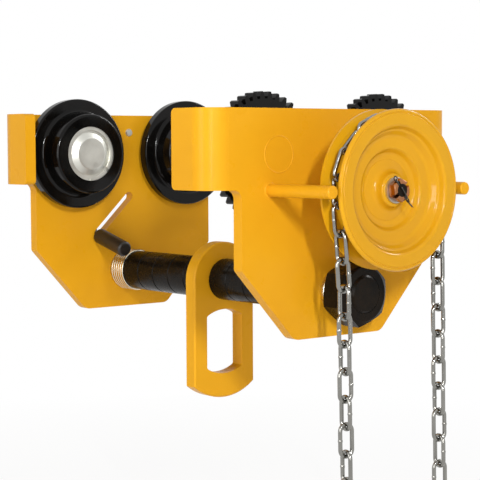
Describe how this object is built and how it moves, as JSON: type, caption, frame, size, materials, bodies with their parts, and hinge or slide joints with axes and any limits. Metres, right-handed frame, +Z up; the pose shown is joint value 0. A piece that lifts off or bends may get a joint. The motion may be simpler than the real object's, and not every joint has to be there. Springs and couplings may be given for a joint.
{
  "type": "geared beam trolley",
  "caption": "Geared beam trolley with folded side plates on flanged wheels, a hand chain wheel that drives toothed wheels, and a hoist plate hung on a spacer-packed shaft.",
  "frame": {"origin": "middle of the track: midway between the four wheels, level with the line where their treads touch the beam's lower flange", "axes": "+X along the beam, +Z up, and the geared plate with the hand chain wheel on the -Y side"},
  "size_m": [0.312, 0.4965, 0.4629],
  "materials": {
    "yellow_paint": "gloss",
    "black_gloss": "gloss",
    "bearing_steel": "ground",
    "bright_zinc": "plated",
    "yellow_zinc": "plated",
    "black_oxide": "oiled oxide",
    "copper_zinc": "plated",
    "bronze": "turned",
    "soft_grip": "satin"
  },
  "bodies": {
    "frame": {"axle_clips": "bearing_steel", "bearing_balls_geared": "bearing_steel", "bearing_balls_plain": "bearing_steel", "bearing_inner_rings_geared_left": "bearing_steel", "bearing_inner_rings_geared_right": "bearing_steel", "bearing_inner_rings_plain_left": "bearing_steel", "bearing_inner_rings_plain_right": "bearing_steel", "chain_bight": "bright_zinc", "chain_left_fall": "bright_zinc", "chain_on_wheel": "bright_zinc", "chain_right_fall": "bright_zinc", "drive_bush": "bronze", "drive_housing": "yellow_paint", "geared_side_plate": "yellow_paint", "guide_rod_left": "yellow_paint", "guide_rod_right": "yellow_paint", "load_nut_front": "black_oxide", "load_nut_rear": "black_oxide", "load_shaft": "black_oxide", "nut_washers_front": "yellow_zinc", "nut_washers_rear": "yellow_zinc", "plain_side_plate": "yellow_paint", "plate_rivet": "bright_zinc", "spacer_tubes_front": "black_oxide", "spacer_tubes_rear": "black_oxide", "wheel_axle_geared_left": "yellow_paint", "wheel_axle_geared_right": "yellow_paint", "wheel_axle_plain_left": "yellow_paint", "wheel_axle_plain_right": "yellow_paint", "zinc_washers_front": "yellow_zinc", "zinc_washers_rear": "yellow_zinc"},
    "geared_wheel_left": {"bearing_outer_rings_geared_left": "bearing_steel", "cap_clip_geared_left": "bright_zinc", "wheel_cap_geared_left": "bright_zinc", "geared_wheel_left": "black_gloss"},
    "geared_wheel_right": {"bearing_outer_rings_geared_right": "bearing_steel", "cap_clip_geared_right": "bright_zinc", "wheel_cap_geared_right": "bright_zinc", "geared_wheel_right": "black_gloss"},
    "plain_wheel_left": {"bearing_outer_rings_plain_left": "bearing_steel", "cap_clip_plain_left": "bright_zinc", "wheel_cap_plain_left": "bright_zinc", "plain_wheel_left": "black_gloss"},
    "plain_wheel_right": {"bearing_outer_rings_plain_right": "bearing_steel", "cap_clip_plain_right": "bright_zinc", "wheel_cap_plain_right": "bright_zinc", "plain_wheel_right": "black_gloss"},
    "hand_drive": {"hand_wheel_front_disc": "yellow_paint", "hand_wheel_rear_disc": "yellow_paint", "hand_wheel_hub": "yellow_paint", "drive_shaft": "bearing_steel", "pinion": "black_gloss", "pinion_clip": "black_gloss", "hub_washer": "bright_zinc", "castle_nut": "copper_zinc", "split_pin": "black_oxide"},
    "suspension": {"suspension_plate": "yellow_paint"},
    "latch": {"latch_pin": "black_oxide", "latch_grip": "soft_grip"}
  },
  "joints": [
    {"name": "geared_wheel_left_spin", "type": "hinge", "parent": "frame", "child": "geared_wheel_left", "pos_m": [-0.074, -0.15, 0.044], "axis": [0, 1, 0], "continuous": true},
    {"name": "geared_wheel_right_spin", "type": "hinge", "parent": "frame", "child": "geared_wheel_right", "pos_m": [0.074, -0.15, 0.044], "axis": [0, 1, 0], "continuous": true},
    {"name": "plain_wheel_left_spin", "type": "hinge", "parent": "frame", "child": "plain_wheel_left", "pos_m": [-0.074, 0.15, 0.044], "axis": [0, 1, 0], "continuous": true},
    {"name": "plain_wheel_right_spin", "type": "hinge", "parent": "frame", "child": "plain_wheel_right", "pos_m": [0.074, 0.15, 0.044], "axis": [0, 1, 0], "continuous": true},
    {"name": "hand_drive_spin", "type": "hinge", "parent": "frame", "child": "hand_drive", "pos_m": [0, -0.2527, 0.01106], "axis": [0, 1, 0], "continuous": true},
    {"name": "suspension_swing", "type": "hinge", "parent": "frame", "child": "suspension", "pos_m": [0, 0, -0.0872], "axis": [0, 1, 0], "range_deg": [-75, 75]},
    {"name": "latch_slide", "type": "slide", "parent": "frame", "child": "latch", "axis": [0.7231, 0, 0.6908], "range_m": [0, 0.0585]}
  ],
  "couplings": [
    {"joint": "geared_wheel_right_spin", "follows": "geared_wheel_left_spin", "ratio": 1},
    {"joint": "hand_drive_spin", "follows": "geared_wheel_left_spin", "ratio": -2.1765}
  ]
}
